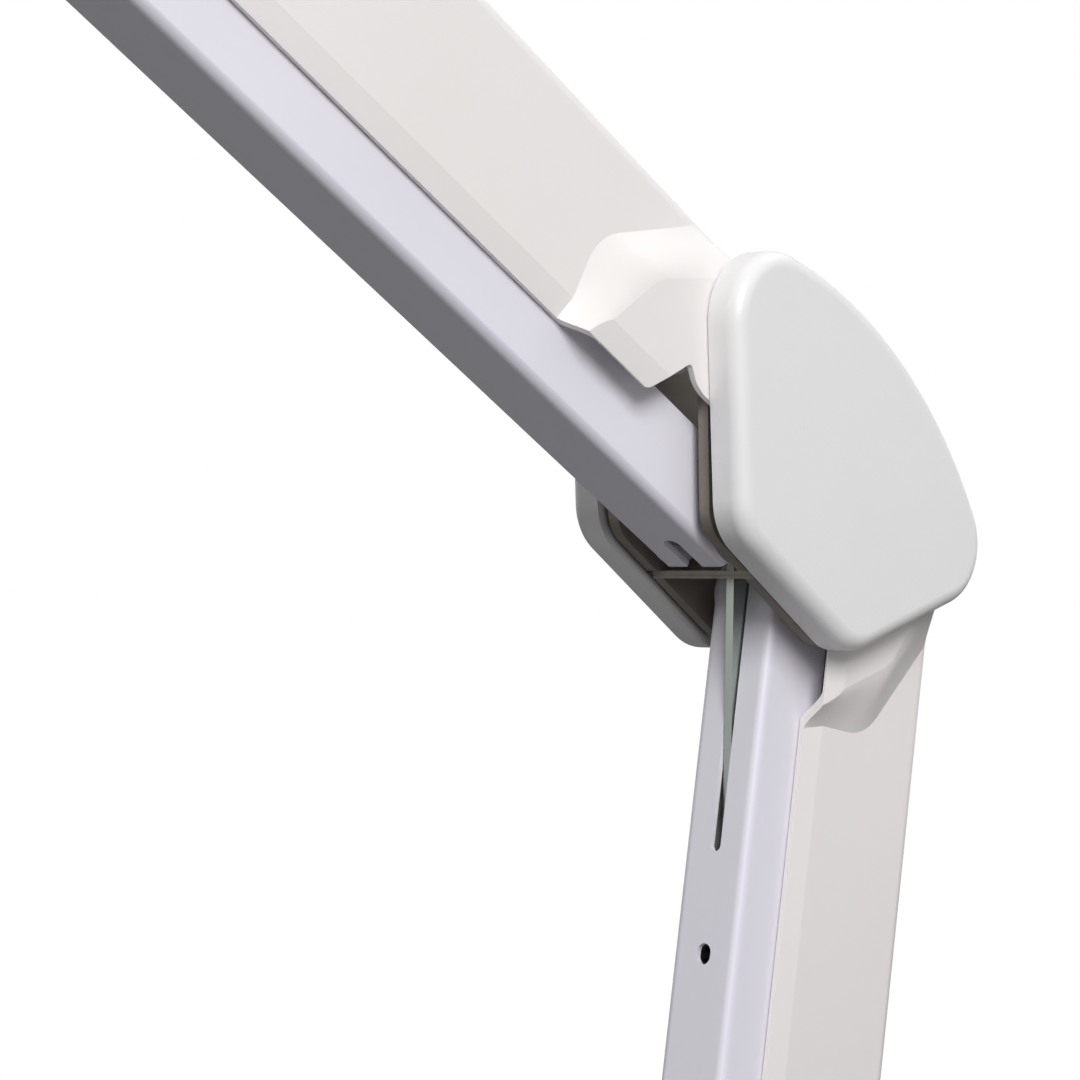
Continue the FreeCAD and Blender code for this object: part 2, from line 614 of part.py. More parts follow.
def build_elbow():
    pivots = [(PIVOT_S, PIN_MIDDLE + PIVOT_T), (PIVOT_S, PIN_MIDDLE - PIVOT_T),
              (TOP_S, PIN_MIDDLE + TOP_T_UPPER), (TOP_S, PIN_MIDDLE - TOP_T_LOWER)]
    studs = [(s, PIN_MIDDLE) for s in CAP_STUDS]
    leg_s, leg_t = PLATE_LEG
    r = PLATE_TOP_RADIUS
    outline = [(PLATE_BASE, 21.7, 7.7), (leg_s, leg_t, 4.0), (TOP_S + r, PIN_MIDDLE + TOP_T_UPPER + r, r),
               (TOP_S + r, PIN_MIDDLE - TOP_T_LOWER - r, r), (leg_s, -leg_t, 4.0), (PLATE_BASE, -21.7, 7.7)]
    plate = rounded(outline, PLATE_IN, PLATE_OUT)
    plate = plate.cut(plate_holes(pivots, studs, [LINK_PIN]))
    front_x, front_z = WEB_FRONT
    low, high = front_z - WEB_SHEET / 2, front_z + WEB_SHEET / 2
    web = box(front_x, front_x + WEB_DEPTH, -PLATE_OUT, PLATE_OUT, low, high)
    web = web.cut(box(front_x - 1, front_x + 0.5, -PLATE_OUT - 1, PLATE_OUT + 1, low + 0.45, low + 0.7))
    slot = box(front_x - 4, front_x + WEB_DEPTH, PLATE_IN - 1, PLATE_OUT + 1, low, high)
    plate.rotate(vec(0, 0, 0), vec(0, 1, 0), -FAN_AXIS)
    add_pair("elbow_plate", plate.cut(slot), fan, 0)
    nodes["elbow_web"] = placed(web, fan, 0)
    spacers = [rod(s, PIN_MIDDLE, SPACER_RADIUS, -PLATE_IN, PLATE_IN) for s in SPACER_PLACES]
    nodes["elbow_spacers"] = placed(Part.makeCompound(spacers), fan, -FAN_AXIS)
    outer = common_circle(CAP_LOWER, CAP_UPPER, CAP_OUTER_RADIUS)
    circles = [(CAP_BASE_RADIUS, -CAP_LEG_SPREAD, CAP_BASE_RADIUS), CAP_LOWER, outer, CAP_UPPER,
               (CAP_BASE_RADIUS, CAP_LEG_SPREAD, CAP_BASE_RADIUS)]
    add_pair("elbow_cap", cap(circles, studs), fan, -FAN_AXIS)
    nodes["elbow_rivets"] = placed(rivets(pivots), fan, -FAN_AXIS)
    nodes["elbow_link_pin"] = placed(rod(*LINK_PIN, LINK_PIN_RADIUS, -PLATE_OUT, PLATE_OUT), fan, -FAN_AXIS)


def build_base():
    px, pz = top_offset_lower
    pivots = [(0, 0), (px, pz)]
    studs = [(8.0, -12.0), (20.0, -16.0)]
    axis_x = -BASE_PIVOT[0]
    plate_circles = [(axis_x - 12, -BASE_BOTTOM + 4, 4.0), (axis_x + 14, -BASE_BOTTOM + 4, 4.0),
                     (px, pz, PLATE_TOP_RADIUS), (0, 0, PLATE_TOP_RADIUS)]
    plate = belt(plate_circles, PLATE_IN, PLATE_OUT)
    add_pair("base_plate", plate.cut(plate_holes(pivots, studs)), BASE_PIVOT, 0)
    block = box(axis_x - 16, axis_x + 16, -PLATE_IN, PLATE_IN, -BASE_BOTTOM, -BASE_BLOCK_TOP)
    block = block.fuse(post(axis_x, 0, COLLAR_RADIUS, -BASE_BOTTOM - COLLAR, -BASE_BOTTOM))
    block = block.cut(post(axis_x, 0, POST_RADIUS_STEEL, -BASE_BOTTOM - 6, -BASE_BLOCK_TOP + 1))
    nodes["base_block"] = placed(block.removeSplitter(), BASE_PIVOT, 0)
    circles = [(axis_x - 10, -BASE_BOTTOM + 9, 9.0), (axis_x + 13, -BASE_BOTTOM + 9, 9.0),
               (px, pz, 15.0), (0, 0, 13.5)]
    add_pair("base_cap", cap(circles, studs), BASE_PIVOT, 0)
    nodes["base_rivets"] = placed(rivets(pivots), BASE_PIVOT, 0)
    low = JAW_PAD + JAW_SHEET + 2 - BASE_PIVOT[1]
    pin = post(axis_x, 0, POST_RADIUS_STEEL, low, -BASE_BLOCK_TOP)
    nodes["base_post"] = placed(pin.makeChamfer(1.0, rim_edges(pin, "z", low)), BASE_PIVOT, 0)


def build_clamp():
    top = JAW_PAD + JAW_SHEET
    floor = JAW_PAD - JAW_OPENING
    half = JAW_WIDTH / 2
    back = SPINE_X + JAW_SHEET
    profile = [(JAW_FRONT, JAW_PAD, 1.0), (SPINE_X, JAW_PAD, 5.0), (SPINE_X, floor, 5.0),
               (LOWER_JAW_FRONT, floor, 1.0), (LOWER_JAW_FRONT, floor - LOWER_JAW, 3.0),
               (back, floor - LOWER_JAW, 12.0), (back, top, 8.0), (JAW_FRONT, top, 3.0)]
    frame = rounded(profile, -half, half)
    frame = frame.fuse([post(0, 0, SOCKET_RADIUS, top - 1, SOCKET_TOP),
                        post(SPINDLE_X, 0, SPINDLE_BOSS, floor - LOWER_JAW - 4, floor)])
    side = Part.makeCylinder(6.5, SOCKET_RADIUS + 4, vec(0, 0, LOCK_Z), vec(1, 0, 0))
    frame = frame.fuse(side)
    frame = frame.cut([post(0, 0, POST_RADIUS_STEEL + 0.1, top + 0.5, SOCKET_TOP + 1),
                       post(SPINDLE_X, 0, SPINDLE_RADIUS + RUN_GAP, floor - LOWER_JAW - 6, floor + 1),
                       Part.makeCylinder(LOCK_RADIUS + RUN_GAP, 40, vec(1, 0, LOCK_Z), vec(1, 0, 0))])
    nodes["clamp_frame"] = frame.removeSplitter()
    nodes["clamp_jaw_pad"] = box(JAW_FRONT + 2, SPINE_X - 7, -half + 2, half - 2, 0, JAW_PAD)
    pad_top = -TABLE
    nodes["foot_pad"] = post(SPINDLE_X, 0, FOOT_RADIUS - 1.5, pad_top - JAW_PAD, pad_top)
    plate_low = pad_top - JAW_PAD - FOOT_SHEET
    foot = post(SPINDLE_X, 0, FOOT_RADIUS, plate_low, plate_low + FOOT_SHEET)
    foot = foot.fuse(post(SPINDLE_X, 0, 9.5, plate_low - 4, plate_low))
    foot = foot.cut(post(SPINDLE_X, 0, SPINDLE_RADIUS + RUN_GAP, plate_low - 5, plate_low + 1.5))
    nodes["clamp_foot"] = foot.removeSplitter()
    knob_top = floor - LOWER_JAW - 4 - FOOT_RISE - 1
    nodes["clamp_spindle"] = post(SPINDLE_X, 0, SPINDLE_RADIUS, knob_top - KNOB_HEIGHT + 4, plate_low + 1.2)
    nodes["clamp_knob"] = lobed_knob(SPINDLE_X, knob_top, KNOB_RADIUS, KNOB_HEIGHT, KNOB_LOBES, SPINDLE_RADIUS)
    wing = Part.makeCylinder(LOCK_RADIUS, 24, vec(POST_RADIUS_STEEL + SIDE_PLAY, 0, LOCK_Z), vec(1, 0, 0))
    head_x = SOCKET_RADIUS + 4 + 1
    head = Part.makeCylinder(8.0, 5.0, vec(head_x, 0, LOCK_Z), vec(1, 0, 0))
    blade = rounded([(head_x, LOCK_Z - 13, 2), (head_x + 14, LOCK_Z - 15, 4), (head_x + 14, LOCK_Z + 15, 4),
                     (head_x, LOCK_Z + 13, 2)], -2.2, 2.2)
    nodes["post_lock_screw"] = wing.fuse([head, blade]).removeSplitter()


def lobed_knob(x, top, radius, height, lobes, bore):
    shape = post(x, 0, radius, top - height, top)
    cuts = []
    for i in range(lobes):
        a = 2 * math.pi * (i + 0.5) / lobes
        reach = radius * 1.22
        cuts.append(post(x + reach * math.cos(a), reach * math.sin(a), radius * 0.5, top - height - 1, top + 1))
    shape = shape.cut(cuts)
    shape = shape.makeFillet(2.0, rim_edges(shape, "z", top) + rim_edges(shape, "z", top - height))
    return shape.cut(post(x, 0, bore, top - height + 4, top + 1))


def build_wrist():
    px, pz = top_offset_upper
    lx, lz = turned(*link_place(), UPPER_TURN)
    pivots = [(0, 0), (px, pz)]
    studs = [(-15.0, 8.0), (-13.0, -12.0)]
    front = BARREL_X + 14
    plate_circles = [(front, BARREL_LOW + 6, 6.0), (lx + 6, lz - 7, 6.0), (0, 0, PLATE_TOP_RADIUS),
                     (px, pz, PLATE_TOP_RADIUS), (front, BARREL_HIGH - 6, 6.0)]
    plate = belt(plate_circles, PLATE_IN, PLATE_OUT)
    add_pair("wrist_plate", plate.cut(plate_holes(pivots, studs, [(lx, lz)])), wrist, 0)
    block = box(BARREL_X, BARREL_X + 18, -PLATE_IN, PLATE_IN, BARREL_LOW, BARREL_HIGH)
    block = block.fuse(post(BARREL_X, 0, PLATE_IN, BARREL_LOW, BARREL_HIGH))
    block = block.cut(post(BARREL_X, 0, STEM_RADIUS + RUN_GAP, BARREL_LOW - 1, BARREL_HIGH + 1))
    nodes["wrist_block"] = placed(block.removeSplitter(), wrist, 0)
    circles = [(BARREL_X + 16, BARREL_LOW + 10, 10.0), (2, -3, 13.5), (px, pz, 15.0),
               (BARREL_X + 16, BARREL_HIGH - 8, 10.0)]
    add_pair("wrist_cap", cap(circles, studs), wrist, 0)
    nodes["wrist_rivets"] = placed(rivets(pivots), wrist, 0)
    nodes["wrist_link_pin"] = placed(rod(lx, lz, LINK_PIN_RADIUS, -PLATE_OUT, PLATE_OUT), wrist, 0)
    washer_top = BARREL_LOW - 0.3
    inner, outer = FORK_GAP, FORK_GAP + FORK_CHEEK
    stem = post(BARREL_X, 0, STEM_RADIUS, washer_top, BARREL_HIGH + 5)
    bridge = box(BARREL_X - FORK_RADIUS, BARREL_X + FORK_RADIUS, -outer, outer, washer_top - 8, washer_top)
    cheek = belt([(BARREL_X, -TILT_DROP, FORK_RADIUS), (BARREL_X, washer_top - FORK_RADIUS, FORK_RADIUS)], inner, outer)
    fork = stem.fuse([bridge, cheek, mirrored(cheek)]).cut(rod(BARREL_X, -TILT_DROP, BOLT_RADIUS, -20, 20))
    nodes["swivel_fork"] = placed(fork.removeSplitter(), wrist, 0)
    nut = post(BARREL_X, 0, 8.0, BARREL_HIGH + 0.3, BARREL_HIGH + 6).cut(
        post(BARREL_X, 0, STEM_RADIUS, BARREL_HIGH, BARREL_HIGH + 5))
    nodes["swivel_nut"] = placed(nut, wrist, 0)
    bolt = rod(BARREL_X, -TILT_DROP, BOLT_RADIUS, -outer - 9.8, outer)
    head = rod(BARREL_X, -TILT_DROP, 7.0, outer, outer + 4)
    nodes["tilt_bolt"] = placed(bolt.fuse(head).removeSplitter(), wrist, 0)
    knob = lobed_knob(0, 0, TILT_KNOB_RADIUS, 14.0, KNOB_LOBES, BOLT_RADIUS + RUN_GAP)
    knob.rotate(vec(0, 0, 0), vec(1, 0, 0), -90)
    knob.translate(vec(BARREL_X, -outer - 0.3, -TILT_DROP))
    nodes["tilt_knob"] = placed(knob, wrist, 0)


def ring(inner, outer, low, high):
    return post(0, 0, outer, low, high).cut(post(0, 0, inner, low - 1, high + 1))


def revolve(corners):
    """Ring from rounded corners (radius, z, fillet)."""
    face = rounded(corners, 0, 0.001).Faces
    flat_face = [f for f in face if abs(f.BoundBox.YMax) < 1e-7][0]
    return flat_face.revolve(vec(0, 0, 0), vec(0, 0, 1), 360)


def build_head():
    centre = (wrist[0] + BARREL_X - HEAD_REACH, wrist[1] - TILT_DROP - HEAD_DROP)
    shoulder = HEAD_HIGH - 2
    outside = [(HEAD_INNER, LENS_SEAT - 3, 0.8), (HEAD_INNER, LENS_SEAT, 0.8), (LENS_RADIUS + 0.3, LENS_SEAT, 0),
               (LENS_RADIUS + 0.3, HEAD_HIGH, 1.5), (HEAD_RADIUS - 16, shoulder, 12.0),
               (HEAD_RADIUS, 2.0, 10.0), (HEAD_RADIUS, HEAD_LOW, 1.0),
               (HEAD_RADIUS - HEAD_WALL, HEAD_LOW, 0.8), (HEAD_RADIUS - HEAD_WALL, 1.0, 8.0),
               (HEAD_RADIUS - 17.5, shoulder - HEAD_WALL, 9.5), (LENS_RADIUS + 0.3 + HEAD_WALL, HEAD_HIGH - HEAD_WALL - 0.4, 1.0),
               (LENS_RADIUS + 0.3 + HEAD_WALL, LENS_SEAT - 3, 0.8)]
    housing = revolve(outside)
    switch_hole = box(-SWITCH_LENGTH / 2, SWITCH_LENGTH / 2, -SWITCH_PLACE - SWITCH_WIDTH / 2,
                      -SWITCH_PLACE + SWITCH_WIDTH / 2, SWITCH_FLOOR, HEAD_HIGH + 6)
    pod = box(-SWITCH_LENGTH / 2 - 3, SWITCH_LENGTH / 2 + 3, -SWITCH_PLACE - SWITCH_WIDTH / 2 - 3,
              -SWITCH_PLACE + SWITCH_WIDTH / 2 + 3, POD_FLOOR, POD_TOP)
    pod = pod.makeFillet(3.0, [e for e in pod.Edges if e.BoundBox.ZLength > 5])
    pod = pod.makeFillet(1.2, rim_edges(pod, "z", POD_TOP))
    inside = revolve([(LENS_RADIUS + 0.3, -40, 0), (HEAD_RADIUS - HEAD_WALL, -40, 0), (HEAD_RADIUS - HEAD_WALL, 1.0, 8.0),
                      (HEAD_RADIUS - 17.5, shoulder - HEAD_WALL, 9.5), (LENS_RADIUS + 0.3, HEAD_HIGH - HEAD_WALL - 0.4, 1.0)])
    pod = pod.cut(inside)
    tab_seat = box(HEAD_RADIUS - 10, HEAD_RADIUS + 8, -11, 11, -8, 4)
    tab_seat = tab_seat.cut(inside)
    hinge_x = -(LID_RADIUS + 4)
    hinge_z = HEAD_HIGH + LID_HINGE_RISE
    lug = box(hinge_x - 4, hinge_x + 3, 9, 15, HEAD_HIGH - 3, hinge_z + HINGE_RADIUS + 1)
    housing = housing.fuse([pod, tab_seat, lug, mirrored(lug)]).cut(
        [switch_hole, rod(hinge_x, hinge_z, HINGE_RADIUS, -20, 20)])
    pillar_place = LED_RADIUS - 10
    pillars = [post(pillar_place * math.cos(a), pillar_place * math.sin(a), 3.0, BOARD_LEVEL + BOARD, shoulder - 1)
               for a in (math.radians(d) for d in (0, 120, 240))]
    housing = housing.fuse(pillars)
    nodes["head_housing"] = placed(housing.removeSplitter(), centre, 0)
    diffuser_low = HEAD_LOW + 1.5
    nodes["light_ring"] = placed(ring(HEAD_INNER + 0.5, HEAD_RADIUS - HEAD_WALL, diffuser_low, diffuser_low + DIFFUSER)
                                 .fuse(ring(HEAD_INNER + 0.5, HEAD_INNER + 2.5, diffuser_low, LENS_SEAT - 3))
                                 .removeSplitter(), centre, 0)
    board_z = BOARD_LEVEL
    board = ring(LED_RADIUS - 14, LED_RADIUS + 13, board_z, board_z + BOARD)
    nodes["led_board"] = placed(board, centre, 0)
    leds = []
    for i in range(LED_COUNT):
        chip = box(-LED_SIZE / 2, LED_SIZE / 2, LED_RADIUS - LED_SIZE / 2, LED_RADIUS + LED_SIZE / 2,
                   board_z - LED_HEIGHT, board_z)
        chip.rotate(vec(0, 0, 0), vec(0, 0, 1), 360.0 * i / LED_COUNT)
        leds.append(chip)
    nodes["leds"] = placed(Part.makeCompound(leds), centre, 0)
    sag = LENS_CURVE - math.sqrt(LENS_CURVE ** 2 - LENS_RADIUS ** 2)
    middle = LENS_SEAT + LENS_PLAY + LENS_EDGE / 2
    top_ball = Part.makeSphere(LENS_CURVE, vec(0, 0, middle + LENS_EDGE / 2 + sag - LENS_CURVE))
    low_ball = Part.makeSphere(LENS_CURVE, vec(0, 0, middle - LENS_EDGE / 2 - sag + LENS_CURVE))
    lens = post(0, 0, LENS_RADIUS, middle - 20, middle + 20).common(top_ball).common(low_ball)
    nodes["lens"] = placed(lens, centre, 0)
    seat_top = LENS_SEAT + LENS_EDGE + 2 * LENS_PLAY
    nodes["lens_ring"] = placed(ring(HEAD_INNER, LENS_RADIUS, seat_top, seat_top + LENS_RING), centre, 0)
    lid_low = HEAD_HIGH + LID_GAP
    lid = post(0, 0, LID_RADIUS, lid_low, lid_low + LID)
    lid = lid.makeFillet(1.0, rim_edges(lid, "z", lid_low + LID))
    knuckle = rod(hinge_x, hinge_z, HINGE_RADIUS + 0.8, -8.6, 8.6)
    arm = box(hinge_x, hinge_x + 8, -8.6, 8.6, lid_low, lid_low + LID)
    finger = box(LID_RADIUS - 3, LID_RADIUS + 5, -9, 9, lid_low, lid_low + LID)
    lid = lid.fuse([knuckle, arm, finger, rod(hinge_x, hinge_z, HINGE_RADIUS - RUN_GAP, -15, 15)])
    nodes["lens_lid"] = placed(lid.removeSplitter(), centre, 0)
    slack = 0.3
    seat = box(-SWITCH_LENGTH / 2, SWITCH_LENGTH / 2, -SWITCH_PLACE - SWITCH_WIDTH / 2,
               -SWITCH_PLACE + SWITCH_WIDTH / 2, SWITCH_FLOOR, SWITCH_TOP)
    seat = seat.cut(box(-SWITCH_LENGTH / 2 + 1.2, SWITCH_LENGTH / 2 - 1.2, -SWITCH_PLACE - SWITCH_WIDTH / 2 + 1.2,
                        -SWITCH_PLACE + SWITCH_WIDTH / 2 - 1.2, SWITCH_FLOOR + 4, HEAD_HIGH + 6))
    reach = SWITCH_LENGTH / 2 - 1.2 - slack - 0.6
    half = SWITCH_WIDTH / 2 - 1.2 - slack
    pivot = HEAD_HIGH
    rocker = rounded([(-reach, pivot - 2.5, 0.8), (reach, pivot - 2.5, 0.8), (reach, pivot + 5.4, 0.8),
                      (0, pivot + 3.4, 9.0), (-reach, pivot + 2.4, 0.8)],
                     -SWITCH_PLACE - half, -SWITCH_PLACE + half)
    journal = rod(0, pivot, ROCKER_PIN, -SWITCH_PLACE - half - 0.9, -SWITCH_PLACE + half + 0.9)
    nodes["switch_rocker"] = placed(rocker.fuse(journal).removeSplitter(), centre, 0)
    seat = seat.cut(rod(0, pivot, ROCKER_PIN + RUN_GAP, -SWITCH_PLACE - 8, -SWITCH_PLACE + 8))
    nodes["switch_body"] = placed(seat, centre, 0)
    tilt = (HEAD_REACH, HEAD_DROP)
    tab = belt([(tilt[0], tilt[1], 9.5), (HEAD_RADIUS + 4, 0, 6.0)], -TAB / 2, TAB / 2)
    foot = box(HEAD_RADIUS + 8, HEAD_RADIUS + 11, -10.5, 10.5, -7.5, 3.5)
    tab = tab.cut(box(0, HEAD_RADIUS + 8, -20, 20, -20, 20)).fuse(foot)
    tab = tab.cut(rod(tilt[0], tilt[1], BOLT_RADIUS + RUN_GAP, -20, 20))
    nodes["head_tab"] = placed(tab.removeSplitter(), centre, 0)
    screws = []
    for y in (-7.0, 7.0):
        shank = Part.makeCylinder(1.8, 12, vec(HEAD_RADIUS - 1, y, -2), vec(1, 0, 0))
        head = Part.makeCylinder(3.2, 2.2, vec(HEAD_RADIUS + 11, y, -2), vec(1, 0, 0))
        screws.append(shank.fuse(head).removeSplitter())
    nodes["tab_screws"] = placed(Part.makeCompound(screws), centre, 0)
    gland = Part.makeCylinder(GLAND_RADIUS, 7.0, vec(HEAD_RADIUS - 6, 0, -2), vec(1, 0, 0))
    flange = Part.makeCylinder(GLAND_RADIUS + 2, 3.0, vec(HEAD_RADIUS + 0.05, 0, -2), vec(1, 0, 0))
    bore = Part.makeCylinder(GLAND_BORE, 20.0, vec(HEAD_RADIUS - 10, 0, -2), vec(1, 0, 0))
    hole = Part.makeCylinder(GLAND_RADIUS, 12.0, vec(HEAD_RADIUS - 6, 0, -2), vec(1, 0, 0))
    gland = gland.fuse(flange).cut(bore)
    for piece in (gland, hole):
        piece.rotate(vec(0, 0, 0), vec(0, 0, 1), GLAND_TURN)
    nodes["cable_gland"] = placed(gland.removeSplitter(), centre, 0)
    nodes["head_housing"] = nodes["head_housing"].cut(placed(hole, centre, 0))
    for name in ("head_housing", "head_tab"):
        for y in (-7.0, 7.0):
            hole = Part.makeCylinder(1.8, 12, vec(HEAD_RADIUS - 1, y, -2), vec(1, 0, 0))
            nodes[name] = nodes[name].cut(placed(hole, centre, 0))


build_clamp()
build_base()
build_arm("lower", BASE_PIVOT, LOWER_LEAN, top_offset_lower)
build_elbow()
build_arm("upper", elbow_upper, UPPER_TURN, top_offset_upper)
build_wrist()
build_head()

os.makedirs("parts", exist_ok=True)
for name, shape in nodes.items():
    solids = shape.Solids
    print(name, len(solids), shape.isValid(), round(shape.Volume / 1000, 2))
    if len(solids) == 1:
        solids[0].exportStep("parts/" + name + ".step")
    else:
        Part.makeCompound(solids).exportStep("parts/" + name + ".step")
print(len(nodes), "nodes; base", BASE_PIVOT, "elbow", elbow_lower, elbow_upper, "fan", fan, "wrist", wrist)
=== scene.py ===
"""Finishes, wound springs, threaded spindle, light and camera for the clamp magnifier lamp.

Lengths are metres in the part's own frame. The solids come packed and are never moved.
"""

from __future__ import annotations

import json
import logging
import math
from dataclasses import dataclass, field
from enum import Enum
from typing import Any

import bpy
from mathutils import Matrix, Vector

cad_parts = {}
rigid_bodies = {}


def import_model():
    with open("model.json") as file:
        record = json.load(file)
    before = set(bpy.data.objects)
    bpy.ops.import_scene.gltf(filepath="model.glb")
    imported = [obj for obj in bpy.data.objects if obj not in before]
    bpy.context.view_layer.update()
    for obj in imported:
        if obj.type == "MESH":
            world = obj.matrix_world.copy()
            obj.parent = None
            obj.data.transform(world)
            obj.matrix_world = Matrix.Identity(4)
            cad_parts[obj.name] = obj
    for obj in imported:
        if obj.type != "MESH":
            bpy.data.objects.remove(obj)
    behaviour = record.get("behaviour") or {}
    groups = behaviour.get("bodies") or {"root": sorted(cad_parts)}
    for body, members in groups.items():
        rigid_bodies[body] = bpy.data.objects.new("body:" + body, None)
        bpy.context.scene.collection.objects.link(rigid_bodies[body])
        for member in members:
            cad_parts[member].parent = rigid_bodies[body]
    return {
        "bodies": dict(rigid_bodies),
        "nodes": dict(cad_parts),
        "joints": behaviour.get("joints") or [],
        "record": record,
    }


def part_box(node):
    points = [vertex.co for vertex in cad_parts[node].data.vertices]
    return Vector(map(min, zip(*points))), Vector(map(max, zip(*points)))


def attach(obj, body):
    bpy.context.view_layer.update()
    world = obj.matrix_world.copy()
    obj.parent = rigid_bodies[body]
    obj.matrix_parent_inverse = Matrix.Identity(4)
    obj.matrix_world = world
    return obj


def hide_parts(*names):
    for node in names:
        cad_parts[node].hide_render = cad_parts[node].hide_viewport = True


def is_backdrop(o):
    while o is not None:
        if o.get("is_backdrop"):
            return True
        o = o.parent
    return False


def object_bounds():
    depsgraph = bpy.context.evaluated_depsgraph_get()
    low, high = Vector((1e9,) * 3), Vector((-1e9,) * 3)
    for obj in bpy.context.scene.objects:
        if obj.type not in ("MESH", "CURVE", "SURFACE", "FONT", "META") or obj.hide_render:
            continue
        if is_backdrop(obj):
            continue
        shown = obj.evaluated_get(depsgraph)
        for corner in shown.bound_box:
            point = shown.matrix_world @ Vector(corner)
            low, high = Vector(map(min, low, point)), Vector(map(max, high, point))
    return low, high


LOG = logging.getLogger("clamp_magnifier_lamp")
MM = 0.001

Colour = tuple[float, float, float, float]


# Colour and node helpers


def linear(code: str) -> Colour:
    """Turn an sRGB hex colour into linear light.

    Args:
        code: Six hex digits after a hash sign.

    Returns:
        Red, green, blue and an alpha of one.
    """
    channels = [int(code[i:i + 2], 16) / 255 for i in (1, 3, 5)]
    bright = [c / 12.92 if c <= 0.04045 else ((c + 0.055) / 1.055) ** 2.4 for c in channels]
    return (bright[0], bright[1], bright[2], 1.0)


def add_node(tree: bpy.types.NodeTree, kind: str, settings: dict[str, Any] | None = None,
             values: dict[Any, Any] | None = None, links: dict[Any, Any] | None = None) -> bpy.types.Node:
    """Add one node with its settings, socket values and incoming links.

    Args:
        tree: Node tree that takes the node.
        kind: Blender's type name of the node.
        settings: Attributes set on the node.
        values: Values by input socket.
        links: Output sockets by the input socket that they feed.

    Returns:
        The new node.
    """
    node = tree.nodes.new(kind)
    for name, value in (settings or {}).items():
        setattr(node, name, value)
    for socket, value in (values or {}).items():
        node.inputs[socket].default_value = value
    for socket, source in (links or {}).items():
        tree.links.new(source, node.inputs[socket])
    return node


def per_mm(size_mm: float) -> float:
    """Texture scale that repeats about once in a real size in millimetres."""
    return 1000.0 / size_mm


# Finishes


class Lay(Enum):
    """How a surface's texture lies."""

    EVEN = "even"
    ALONG_X = "along x"
    ALONG_Z = "along z"


